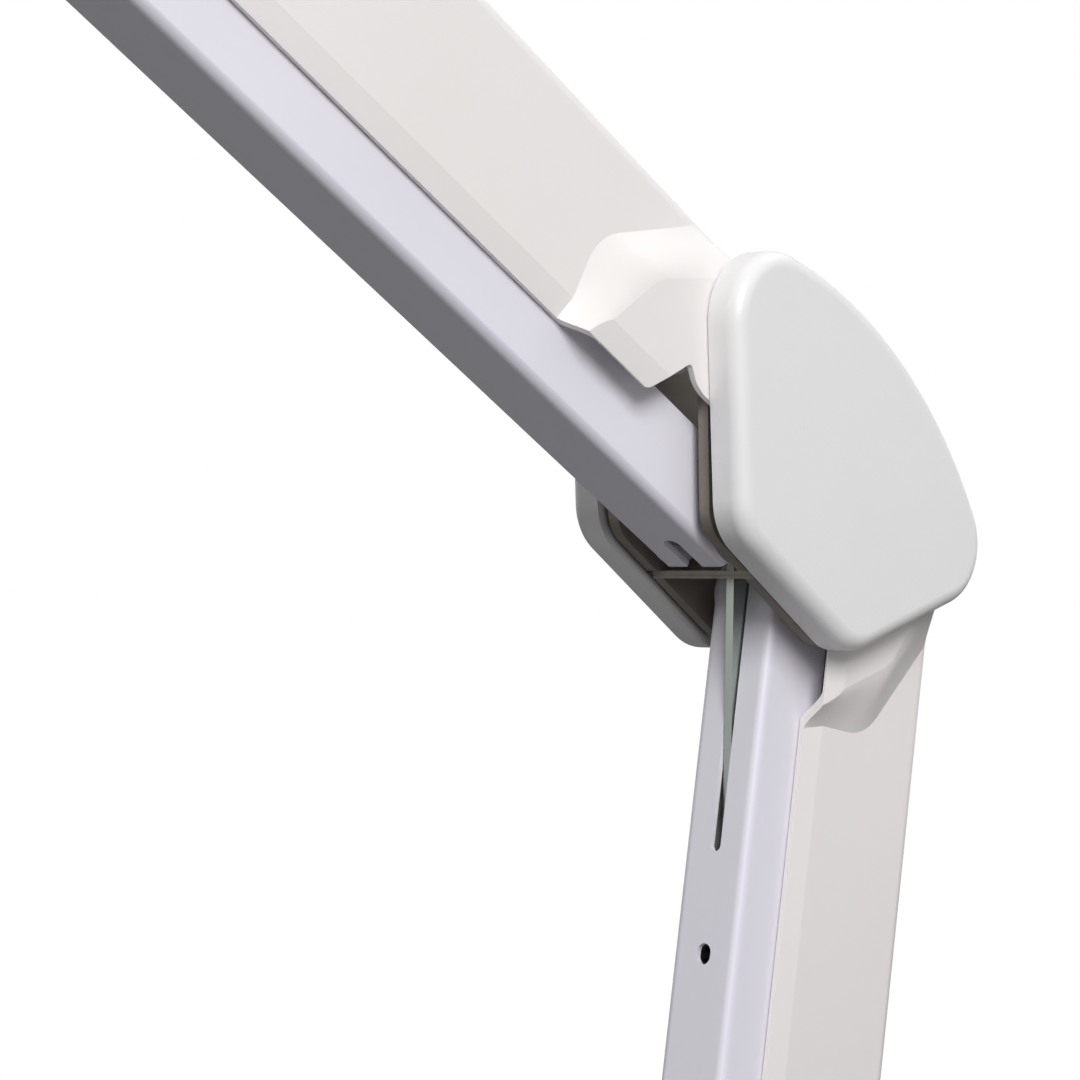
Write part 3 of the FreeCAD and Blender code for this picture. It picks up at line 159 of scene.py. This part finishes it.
@dataclass(frozen=True)
class Finish:
    """A solid finish: a colour that drifts slightly, a grain that raises the surface, and its gloss."""

    name: str
    colour: str
    drift: str
    roughness: float
    metallic: float = 0.0
    ior: float = 1.5
    drift_mm: float = 45.0
    grain_mm: float = 0.9
    grain_height_mm: float = 0.02
    gloss_change: float = 0.06
    lay: Lay = Lay.EVEN
    stretch: float = 12.0
    # Colour on sharp outer edges and its share: a painted highlight on the white coats, bare sheared steel on the
    # plates
    edge_bare_and_sheen: str | None = None
    edge_bare_and_sheen_share: float = 0.5
    coat: float = 0.0
    coat_roughness: float = 0.2
    through: float = 0.0
    through_mm: float = 3.0

    def place(self, tree: bpy.types.NodeTree) -> bpy.types.NodeSocket:
        """Texture place in metres, drawn out along the texture's lay.

        Args:
            tree: Node tree of the material.

        Returns:
            The vector socket that the textures read.
        """
        spot = add_node(tree, "ShaderNodeTexCoord").outputs["Object"]
        squeeze = {Lay.EVEN: (1, 1, 1), Lay.ALONG_X: (1 / self.stretch, 1, 1), Lay.ALONG_Z: (1, 1, 1 / self.stretch)}
        return add_node(tree, "ShaderNodeMapping", values={"Scale": squeeze[self.lay]},
                        links={"Vector": spot}).outputs["Vector"]

    def tint(self, tree: bpy.types.NodeTree, place: bpy.types.NodeSocket) -> bpy.types.NodeSocket:
        """Colour that drifts over the piece and changes on sharp outer edges: a painted highlight on the white
        coats, bare sheared steel on the plates.

        Args:
            tree: Node tree of the material.
            place: Vector socket of the texture place.

        Returns:
            The colour socket.
        """
        cloud = add_node(tree, "ShaderNodeTexNoise", values={"Scale": per_mm(self.drift_mm), "Detail": 2.0},
                         links={"Vector": place})
        soft = add_node(tree, "ShaderNodeMapRange", values={"From Min": 0.25, "From Max": 0.75},
                        links={"Value": cloud.outputs["Fac"]})
        mix = add_node(tree, "ShaderNodeMix", {"data_type": "RGBA"},
                       {6: linear(self.colour), 7: linear(self.drift)}, {0: soft.outputs["Result"]})
        if self.edge_bare_and_sheen is None:
            return mix.outputs[2]
        # Sharp outer edges take the edge colour: a painted highlight on the white coats, bare sheared steel on the
        # plates
        edge_sharpness = add_node(tree, "ShaderNodeNewGeometry").outputs["Pointiness"]
        edge_bare_and_sheen_mask = add_node(tree, "ShaderNodeMapRange",
                        values={"From Min": 0.515, "From Max": 0.60, "To Max": self.edge_bare_and_sheen_share},
                        links={"Value": edge_sharpness})
        return add_node(tree, "ShaderNodeMix", {"data_type": "RGBA"}, {7: linear(self.edge_bare_and_sheen)},
                        {0: edge_bare_and_sheen_mask.outputs["Result"], 6: mix.outputs[2]}).outputs[2]

    def relief(self, tree: bpy.types.NodeTree, place: bpy.types.NodeSocket) -> bpy.types.NodeSocket:
        """Fine grain raised on the surface.

        Args:
            tree: Node tree of the material.
            place: Vector socket of the texture place.

        Returns:
            The normal socket.
        """
        grain = add_node(tree, "ShaderNodeTexNoise", values={"Scale": per_mm(self.grain_mm), "Detail": 3.0,
                                                            "Roughness": 0.6}, links={"Vector": place})
        return add_node(tree, "ShaderNodeBump",
                        values={"Strength": 1.0, "Distance": self.grain_height_mm * MM},
                        links={"Height": grain.outputs["Fac"]}).outputs["Normal"]

    def gloss(self, tree: bpy.types.NodeTree, place: bpy.types.NodeSocket) -> bpy.types.NodeSocket:
        """Roughness that changes a little from place to place.

        Args:
            tree: Node tree of the material.
            place: Vector socket of the texture place.

        Returns:
            The roughness socket.
        """
        patch = add_node(tree, "ShaderNodeTexNoise", values={"Scale": per_mm(self.drift_mm / 4), "Detail": 2.0},
                         links={"Vector": place})
        return add_node(tree, "ShaderNodeMapRange",
                        values={"From Min": 0.3, "From Max": 0.7, "To Min": self.roughness - self.gloss_change,
                                "To Max": self.roughness + self.gloss_change},
                        links={"Value": patch.outputs["Fac"]}).outputs["Result"]

    def material(self) -> bpy.types.Material:
        """Build the material.

        Returns:
            The new material, named for the real one.
        """
        made = bpy.data.materials.new(self.name)
        made.use_nodes = True
        tree = made.node_tree
        tree.nodes.clear()
        place = self.place(tree)
        values = {"Metallic": self.metallic}
        if self.metallic < 0.5:
            values["IOR"] = self.ior
        if self.coat:
            values["Coat Weight"] = self.coat
            values["Coat Roughness"] = self.coat_roughness
        if self.through:
            values["Subsurface Weight"] = self.through
            values["Subsurface Radius"] = (1.0, 0.95, 0.9)
            values["Subsurface Scale"] = self.through_mm * MM
        shader = add_node(tree, "ShaderNodeBsdfPrincipled", values=values,
                          links={"Base Color": self.tint(tree, place), "Roughness": self.gloss(tree, place),
                                 "Normal": self.relief(tree, place)})
        add_node(tree, "ShaderNodeOutputMaterial", links={"Surface": shader.outputs["BSDF"]})
        return made


@dataclass(frozen=True)
class ClearFinish:
    """A clear finish that light goes through."""

    name: str
    colour: str
    roughness: float
    ior: float
    smear_mm: float = 20.0

    def material(self) -> bpy.types.Material:
        """Build the material.

        Returns:
            The new material, with faint wiping marks in its gloss.
        """
        made = bpy.data.materials.new(self.name)
        made.use_nodes = True
        tree = made.node_tree
        tree.nodes.clear()
        spot = add_node(tree, "ShaderNodeTexCoord").outputs["Object"]
        smear = add_node(tree, "ShaderNodeTexNoise", values={"Scale": per_mm(self.smear_mm), "Detail": 6.0},
                         links={"Vector": spot})
        gloss = add_node(tree, "ShaderNodeMapRange",
                         values={"From Min": 0.4, "From Max": 0.8, "To Min": self.roughness,
                                 "To Max": self.roughness + 0.03}, links={"Value": smear.outputs["Fac"]})
        shader = add_node(tree, "ShaderNodeBsdfPrincipled",
                          values={"Base Color": linear(self.colour), "IOR": self.ior,
                                  "Transmission Weight": 1.0}, links={"Roughness": gloss.outputs["Result"]})
        add_node(tree, "ShaderNodeOutputMaterial", links={"Surface": shader.outputs["BSDF"]})
        return made


# Polyester powder coat on folded steel: satin, lilac white, with a faint orange peel; the lighter colour on its
# folded edges is a painted highlight
CHANNEL_COAT = Finish("powder_coated_folded_steel", "#E4E1EC", "#DEDBE8", 0.42, grain_mm=2.2,
                      grain_height_mm=0.015, gloss_change=0.03, coat=0.25, coat_roughness=0.25, edge_bare_and_sheen="#F0EEF4", edge_bare_and_sheen_share=0.5)
# Polished-tool ABS moulding: warm white, soft gloss, a little light goes into it
COVER_ABS = Finish("moulded_abs_warm_white", "#EFECEB", "#ECE8E6", 0.30, ior=1.54, drift_mm=90.0, grain_mm=3.5,
                   grain_height_mm=0.010, gloss_change=0.02, through=0.08, through_mm=2.0)
# Spark-eroded tool ABS moulding: neutral white, fine even texture that breaks the highlight up
CAP_ABS = Finish("moulded_abs_spark_texture", "#ECEBEB", "#E8E7E7", 0.40, ior=1.54, drift_mm=70.0, grain_mm=0.8,
                 grain_height_mm=0.03, gloss_change=0.03, through=0.05, through_mm=2.0)
# Stamped steel under a brown phosphate: dull, with rolling marks and brighter sheared edges
PLATE_STEEL = Finish("stamped_steel_phosphated", "#60574F", "#4A423C", 0.50, metallic=0.45, drift_mm=18.0,
                     grain_mm=0.5, grain_height_mm=0.02, gloss_change=0.10, lay=Lay.ALONG_X,
                     edge_bare_and_sheen="#9A938B", edge_bare_and_sheen_share=0.7)
# Bright zinc plate on cut strip: cool grey, drawn along the strip
ZINC_STRIP = Finish("zinc_plated_strip", "#B4B9B4", "#A2A8A3", 0.32, metallic=1.0, drift_mm=12.0, grain_mm=0.4,
                    grain_height_mm=0.008, gloss_change=0.08, lay=Lay.ALONG_Z)
# Bright zinc plate on turned steel: even, with a small crystalline mottle
ZINC_TURNED = Finish("zinc_plated_turned_steel", "#C2C3C4", "#B0B2B3", 0.28, metallic=1.0, drift_mm=6.0,
                     grain_mm=0.5, grain_height_mm=0.006)
# Drawn spring wire, oiled: dark and glossy
SPRING_WIRE = Finish("drawn_spring_wire_oiled", "#7A7876", "#66645F", 0.25, metallic=1.0, drift_mm=4.0,
                     grain_mm=0.3, grain_height_mm=0.006)
# Powder coat on a casting: heavier orange peel than on sheet; the lighter colour on its edges is a painted highlight
CASTING_COAT = Finish("powder_coated_casting", "#E6E5E8", "#DDDCE0", 0.45, grain_mm=1.6, grain_height_mm=0.06,
                      coat=0.2, coat_roughness=0.3, edge_bare_and_sheen="#F1F0F3", edge_bare_and_sheen_share=0.4)
# Moulded nitrile rubber: matt black, fine stipple
PAD_RUBBER = Finish("moulded_nitrile_rubber", "#1C1C1D", "#252526", 0.78, ior=1.52, grain_mm=0.7,
                    grain_height_mm=0.05)
# Glass-filled nylon moulding: charcoal, dry and slightly cloudy
KNOB_NYLON = Finish("moulded_glass_filled_nylon", "#2A2A2C", "#343436", 0.55, ior=1.53, drift_mm=8.0,
                    grain_mm=0.6, grain_height_mm=0.04)
# Satin ABS moulding of the head: white, a shade cooler than the covers
HEAD_ABS = Finish("moulded_abs_satin_white", "#EEEDEC", "#E8E7E6", 0.36, ior=1.54, drift_mm=80.0, grain_mm=2.5,
                  grain_height_mm=0.012, gloss_change=0.02, through=0.06, through_mm=2.0)
# Opal acrylic: milky, light spreads inside it
OPAL_ACRYLIC = Finish("moulded_opal_acrylic", "#F4F3EE", "#EFEEE8", 0.30, ior=1.49, grain_mm=4.0,
                      grain_height_mm=0.008, through=0.6, through_mm=5.0)
# Circuit board under white solder mask: flat and slightly waxy, copper just showing through
MASKED_BOARD = Finish("white_masked_board", "#E6E8E4", "#D6DACF", 0.42, drift_mm=5.0, grain_mm=0.5,
                      grain_height_mm=0.01)
# Phosphor in clear resin: yellow, glossy
PHOSPHOR_RESIN = Finish("phosphor_resin", "#E8C24A", "#DDB13A", 0.22, ior=1.52, drift_mm=1.2, grain_mm=0.3,
                        grain_height_mm=0.01, through=0.3, through_mm=1.0)
# Moulded polycarbonate switch: black, semi-gloss
SWITCH_BLACK = Finish("moulded_polycarbonate_black", "#1A1A1B", "#212122", 0.34, ior=1.58, grain_mm=0.6,
                      grain_height_mm=0.02)
# Crown glass, ground and polished
CROWN_GLASS = ClearFinish("polished_crown_glass", "#F4FAF8", 0.0, 1.52)


@dataclass
class Workshop:
    """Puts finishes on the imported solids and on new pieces."""

    frame: dict[str, Any]
    made: dict[str, bpy.types.Material] = field(default_factory=dict)

    def finish(self, finish: Finish | ClearFinish) -> bpy.types.Material:
        """Material of a finish, built the first time that it is asked for."""
        if finish.name not in self.made:
            self.made[finish.name] = finish.material()
        return self.made[finish.name]

    def dress(self, finish: Finish | ClearFinish, *names: str) -> None:
        """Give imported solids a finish.

        Args:
            finish: The finish.
            names: Nodes that take it.
        """
        for name in names:
            piece = self.frame["nodes"][name]
            piece.data.materials.clear()
            piece.data.materials.append(self.finish(finish))
            LOG.info("%s: %s", name, finish.name)

    def piece(self, name: str, points: list[Vector], faces: list[tuple[int, ...]], finish: Finish,
              body: str, slot: str, stands_for: str) -> bpy.types.Object:
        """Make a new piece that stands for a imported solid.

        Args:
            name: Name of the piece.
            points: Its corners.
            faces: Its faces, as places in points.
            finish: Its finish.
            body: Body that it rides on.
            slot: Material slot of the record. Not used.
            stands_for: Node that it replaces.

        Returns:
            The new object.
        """
        mesh = bpy.data.meshes.new(name)
        mesh.from_pydata([tuple(p) for p in points], [], faces)
        mesh.validate()
        mesh.shade_smooth()
        mesh.materials.append(self.finish(finish))
        made = bpy.data.objects.new(name, mesh)
        bpy.context.scene.collection.objects.link(made)
        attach(made, body)
        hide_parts(stands_for)
        LOG.info("%s: %d faces, %s", name, len(faces), finish.name)
        return made


def tube(path: list[Vector], radius: float, sides: int) -> tuple[list[Vector], list[tuple[int, ...]]]:
    """Round tube along a path, closed at both ends.

    Args:
        path: Points along the middle of the tube.
        radius: Radius of the tube.
        sides: Corners round the tube.

    Returns:
        The tube's points and faces.
    """
    points: list[Vector] = []
    faces: list[tuple[int, ...]] = []
    across = (path[1] - path[0]).orthogonal().normalized()
    last = len(path) - 1
    for i, middle in enumerate(path):
        along = (path[min(i + 1, last)] - path[max(i - 1, 0)]).normalized()
        across = (across - along * across.dot(along)).normalized()
        other = along.cross(across)
        for k in range(sides):
            turn = 2 * math.pi * k / sides
            points.append(middle + (across * math.cos(turn) + other * math.sin(turn)) * radius)
    for i in range(last):
        for k in range(sides):
            a, b = i * sides + k, i * sides + (k + 1) % sides
            faces.append((a, b, b + sides, a + sides))
    faces.append(tuple(reversed(range(sides))))
    faces.append(tuple(last * sides + k for k in range(sides)))
    return points, faces


# Sub-assemblies


@dataclass
class Clamp:
    """Table clamp: frame, pads, screw foot, threaded spindle and knob."""

    shop: Workshop
    pitch: float = 2.0 * MM
    thread_depth: float = 0.9 * MM
    steps_per_turn: int = 8
    sides: int = 36

    def spindle(self) -> None:
        """Threaded spindle, cut as one right-hand helix."""
        low, high = (Vector(corner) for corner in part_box("clamp_spindle"))
        radius = (high.x - low.x) / 2
        middle = (low + high) / 2
        levels = int((high.z - low.z) / self.pitch * self.steps_per_turn)
        points = []
        for i in range(levels + 1):
            z = low.z + (high.z - low.z) * i / levels
            for k in range(self.sides):
                turn = k / self.sides
                phase = ((z - low.z) / self.pitch - turn) % 1.0
                flank = min(1.0, max(0.0, abs(phase - 0.5) * 4 - 0.5))
                r = radius - self.thread_depth * flank
                angle = 2 * math.pi * turn
                points.append(Vector((middle.x + r * math.cos(angle), middle.y + r * math.sin(angle), z)))
        faces = []
        for i in range(levels):
            for k in range(self.sides):
                a, b = i * self.sides + k, i * self.sides + (k + 1) % self.sides
                faces.append((a, b, b + self.sides, a + self.sides))
        faces.append(tuple(reversed(range(self.sides))))
        faces.append(tuple(levels * self.sides + k for k in range(self.sides)))
        self.shop.piece("threaded_spindle", points, faces, ZINC_TURNED, "spindle", "rivet_steel", "clamp_spindle")

    def build(self) -> None:
        """Make the spindle and dress the clamp."""
        self.spindle()
        self.shop.dress(CASTING_COAT, "clamp_frame", "clamp_foot")
        self.shop.dress(PAD_RUBBER, "clamp_jaw_pad", "foot_pad")
        self.shop.dress(KNOB_NYLON, "clamp_knob")
        self.shop.dress(ZINC_TURNED, "post_lock_screw")


@dataclass
class Arm:
    """One balanced arm: folded channel, covered bar, draw link and wound spring."""

    shop: Workshop
    name: str
    start_joint: str
    end_joint: str
    wire: float = 1.9 * MM
    coil_radius: float = 4.55 * MM
    coil_pitch: float = 2.55 * MM
    eye_radius: float = 3.4 * MM
    coil_top: float = 70.6 * MM
    coil_length: float = 110.0 * MM
    eye_rise: float = 8.0 * MM
    steps: int = 20

    def joint_place(self, name: str) -> Vector:
        """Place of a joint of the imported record."""
        found = [j for j in self.shop.frame["joints"] if j["name"] == name]
        return Vector(found[0]["pos_m"])

    def spring(self) -> None:
        """Wound tension spring with a full eye at each end, as one unbroken wire."""
        start = self.joint_place(self.start_joint)
        end = self.joint_place(self.end_joint)
        along = (end - start).normalized()
        side = Vector((0, 1, 0))
        front = side.cross(along)
        top = end - along * self.coil_top
        turns = int(self.coil_length / self.coil_pitch)
        pitch = (self.coil_length - self.wire) / turns
        path = []
        for i in range(turns * self.steps + 1):
            angle = math.pi / 2 + 2 * math.pi * i / self.steps
            drop = self.wire / 2 + pitch * i / self.steps
            spoke = side * math.sin(angle) + front * math.cos(angle)
            path.append(top - along * drop + spoke * self.coil_radius)
        rise = self.eye_rise - self.wire / 2 - self.eye_radius
        path = self.eye(top + along * rise, along, side, False) + path
        path += self.eye(top - along * (self.coil_length + rise), -along, side, True)
        points, faces = tube(path, self.wire / 2, 8)
        self.shop.piece(self.name + "_wound_spring", points, faces, SPRING_WIRE, self.name + "_arm",
                        "spring_steel", self.name + "_spring")

    def eye(self, middle: Vector, out: Vector, side: Vector, onward: bool) -> list[Vector]:
        """Open loop at one end of the spring.

        Args:
            middle: Middle of the loop.
            out: Direction away from the coil.
            side: Direction of the coil's last point.
            onward: True if the wire runs from the coil into the loop.

        Returns:
            Points along the loop, in the wire's order.
        """
        loop = []
        for i in range(15):
            angle = 2 * math.pi * 0.80 * i / 14
            loop.append(middle + (side * math.cos(angle) + out * math.sin(angle)) * self.eye_radius)
        return loop if onward else list(reversed(loop))

    def build(self) -> None:
        """Wind the spring and dress the arm."""
        self.spring()
        self.shop.dress(CHANNEL_COAT, self.name + "_channel")
        self.shop.dress(COVER_ABS, self.name + "_cover")
        self.shop.dress(ZINC_STRIP, self.name + "_draw_link", self.name + "_top_bar", self.name + "_spring_anchor")
        self.shop.dress(ZINC_TURNED, self.name + "_cover_screws")


@dataclass
class Yoke:
    """A pair of steel plates with rivets and snap-on caps: base, elbow or wrist."""

    shop: Workshop
    name: str
    castings: tuple[str, ...] = ()
    strips: tuple[str, ...] = ()
    plates: tuple[str, ...] = ()
    turned: tuple[str, ...] = ()

    def build(self) -> None:
        """Dress the yoke."""
        self.shop.dress(PLATE_STEEL, self.name + "_plate_far", self.name + "_plate_near", *self.plates)
        self.shop.dress(CAP_ABS, self.name + "_cap_far", self.name + "_cap_near")
        self.shop.dress(ZINC_TURNED, self.name + "_rivets", *self.turned)
        self.shop.dress(CASTING_COAT, *self.castings)
        self.shop.dress(ZINC_STRIP, *self.strips)


@dataclass
class Head:
    """Magnifier head: housing, light ring, lens, lid, switch and tilt joint."""

    shop: Workshop

    def build(self) -> None:
        """Dress the head and its tilt joint."""
        self.shop.dress(HEAD_ABS, "head_housing", "lens_ring", "lens_lid")
        self.shop.dress(OPAL_ACRYLIC, "light_ring")
        self.shop.dress(MASKED_BOARD, "led_board")
        self.shop.dress(PHOSPHOR_RESIN, "leds")
        self.shop.dress(CROWN_GLASS, "lens")
        self.shop.dress(SWITCH_BLACK, "switch_body", "switch_rocker")
        self.shop.dress(CASTING_COAT, "swivel_fork", "head_tab")
        self.shop.dress(ZINC_TURNED, "swivel_nut", "tilt_bolt", "tab_screws")
        self.shop.dress(KNOB_NYLON, "tilt_knob")
        self.shop.dress(PAD_RUBBER, "cable_gland")


# Camera, light and floor


@dataclass
class Studio:
    """Camera at the photograph's angle, soft lamps, pale floor and white surround."""

    aim: Vector = field(default_factory=lambda: Vector((0.04746, 0.0, 0.4653)))
    offset: Vector = field(default_factory=lambda: Vector((-0.5333, -0.4318, 0.0082)))
    azimuth: float = 47.5
    elevation: float = 0.52
    roll: float = 0.06
    focal_mm: float = 110.4
    sensor_mm: float = 36.0
    from_above: float = 0.34
    from_below: float = 0.13
    floor_half: float = 6.0
    floor_drop: float = 0.034
    floor_fade: tuple[float, float] = (0.9, 2.2)

    def camera(self) -> None:
        """Place the camera and make it the scene's own."""
        data = bpy.data.cameras.new("camera")
        data.lens = self.focal_mm
        data.sensor_width = self.sensor_mm
        data.clip_start = 0.01
        data.clip_end = 50.0
        turn, lift, roll = (math.radians(a) for a in (self.azimuth, self.elevation, self.roll))
        level = Vector((math.sin(turn), math.cos(turn), 0.0))
        forward = level * math.cos(lift) + Vector((0, 0, math.sin(lift)))
        right = Vector((math.cos(turn), -math.sin(turn), 0.0))
        up = right.cross(forward)
        across = right * math.cos(roll) + up * math.sin(roll)
        above = up * math.cos(roll) - right * math.sin(roll)
        made = bpy.data.objects.new("camera", data)
        rows = Matrix((across, above, -forward)).transposed().to_4x4()
        made.matrix_world = Matrix.Translation(self.aim + self.offset) @ rows
        bpy.context.scene.collection.objects.link(made)
        bpy.context.scene.camera = made

    def lamp(self, name: str, place: tuple[float, float, float], width: float, power: float, colour: str) -> None:
        """Add a square soft lamp that faces the elbow.

        Args:
            name: Name of the lamp.
            place: Where it stands, from the elbow.
            width: Side of the lamp.
            power: Power in watts.
            colour: Hex colour of its light.
        """
        data = bpy.data.lights.new(name, "AREA")
        data.shape = "SQUARE"
        data.size = width
        data.energy = power
        data.color = linear(colour)[:3]
        made = bpy.data.objects.new(name, data)
        spot = Vector(place)
        made.location = self.aim + spot
        made.rotation_euler = (-spot).to_track_quat("-Z", "Y").to_euler()
        bpy.context.scene.collection.objects.link(made)

    def surround(self) -> None:
        """World: white where the camera, glass and gloss see it, softer as a light."""
        world = bpy.data.worlds.new("surround")
        bpy.context.scene.world = world
        world.use_nodes = True
        tree = world.node_tree
        tree.nodes.clear()
        rays = add_node(tree, "ShaderNodeLightPath")
        seen = add_node(tree, "ShaderNodeMath", {"operation": "MAXIMUM"},
                        links={0: rays.outputs["Is Camera Ray"], 1: rays.outputs["Is Transmission Ray"]})
        mirrored = add_node(tree, "ShaderNodeMath", {"operation": "MAXIMUM"},
                            links={0: seen.outputs[0], 1: rays.outputs["Is Glossy Ray"]})
        sky = add_node(tree, "ShaderNodeTexCoord").outputs["Generated"]
        height = add_node(tree, "ShaderNodeSeparateXYZ", links={0: sky})
        level = add_node(tree, "ShaderNodeMapRange",
                         values={"From Min": -0.35, "From Max": 0.5, "To Min": self.from_below,
                                 "To Max": self.from_above}, links={"Value": height.outputs["Z"]})
        soft = add_node(tree, "ShaderNodeBackground", values={"Color": (1, 1, 1, 1)},
                        links={"Strength": level.outputs[0]})
        white = add_node(tree, "ShaderNodeBackground", values={"Color": (1, 1, 1, 1), "Strength": 1.0})
        mix = add_node(tree, "ShaderNodeMixShader", links={0: mirrored.outputs[0], 1: soft.outputs[0],
                                                           2: white.outputs[0]})
        add_node(tree, "ShaderNodeOutputWorld", links={"Surface": mix.outputs[0]})

    def floor(self, level: float) -> None:
        """Pale floor that fades into the white surround.

        Args:
            level: Height of the floor.
        """
        half = self.floor_half
        mesh = bpy.data.meshes.new("floor")
        corners = [(-half, -half, level), (half, -half, level), (half, half, level), (-half, half, level)]
        mesh.from_pydata(corners, [], [(0, 1, 2, 3)])
        made = bpy.data.materials.new("matt_paper_floor")
        made.use_nodes = True
        tree = made.node_tree
        tree.nodes.clear()
        spot = add_node(tree, "ShaderNodeTexCoord").outputs["Object"]
        flat = add_node(tree, "ShaderNodeVectorMath", {"operation": "MULTIPLY"}, {1: (1, 1, 0)}, {0: spot})
        reach = add_node(tree, "ShaderNodeVectorMath", {"operation": "LENGTH"}, links={0: flat.outputs[0]})
        fade = add_node(tree, "ShaderNodeMapRange",
                        values={"From Min": self.floor_fade[0], "From Max": self.floor_fade[1]},
                        links={"Value": reach.outputs["Value"]})
        rays = add_node(tree, "ShaderNodeLightPath")
        seen = add_node(tree, "ShaderNodeMath", {"operation": "MULTIPLY"},
                        links={0: rays.outputs["Is Camera Ray"], 1: fade.outputs[0]})
        tone = add_node(tree, "ShaderNodeMix", {"data_type": "RGBA"},
                        {6: linear("#8C8C8C"), 7: linear("#F1F1F0")}, {0: rays.outputs["Is Camera Ray"]})
        paper = add_node(tree, "ShaderNodeBsdfDiffuse", links={"Color": tone.outputs[2]})
        white = add_node(tree, "ShaderNodeEmission", values={"Color": (1, 1, 1, 1), "Strength": 1.0})
        mix = add_node(tree, "ShaderNodeMixShader", links={0: seen.outputs[0], 1: paper.outputs[0],
                                                           2: white.outputs[0]})
        add_node(tree, "ShaderNodeOutputMaterial", links={"Surface": mix.outputs[0]})
        mesh.materials.append(made)
        piece = bpy.data.objects.new("floor", mesh)
        bpy.context.scene.collection.objects.link(piece)
        piece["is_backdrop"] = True

    def build(self, level: float) -> None:
        """Set the camera, lamps, world and floor.

        Args:
            level: Lowest point of the part at rest. The floor lies further down, clear of the
                spindle at its lowest.
        """
        self.camera()
        self.lamp("key", (-1.0, -1.55, 1.1), 1.0, 38.0, "#FFFFFF")
        self.lamp("rim", (1.2, -0.4, 1.6), 0.8, 5.0, "#FFFFFF")
        self.surround()
        self.floor(level - self.floor_drop)
        bpy.context.scene.view_settings.view_transform = "Standard"


def main() -> None:
    """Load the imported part, then build every sub-assembly in order."""
    logging.basicConfig(level=logging.INFO, format="%(name)s %(message)s")
    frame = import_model()
    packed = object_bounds()
    shop = Workshop(frame)
    Studio().build(packed[0][2])
    Clamp(shop).build()
    Yoke(shop, "base", castings=("base_block",), turned=("base_post",)).build()
    Arm(shop, "lower", "lower_arm_lean", "elbow_level").build()
    Yoke(shop, "elbow", strips=("elbow_spacers",), plates=("elbow_web",), turned=("elbow_link_pin",)).build()
    Arm(shop, "upper", "upper_arm_fall", "wrist_level").build()
    Yoke(shop, "wrist", castings=("wrist_block",), turned=("wrist_link_pin",)).build()
    Head(shop).build()


if __name__ == "__main__":
    main()
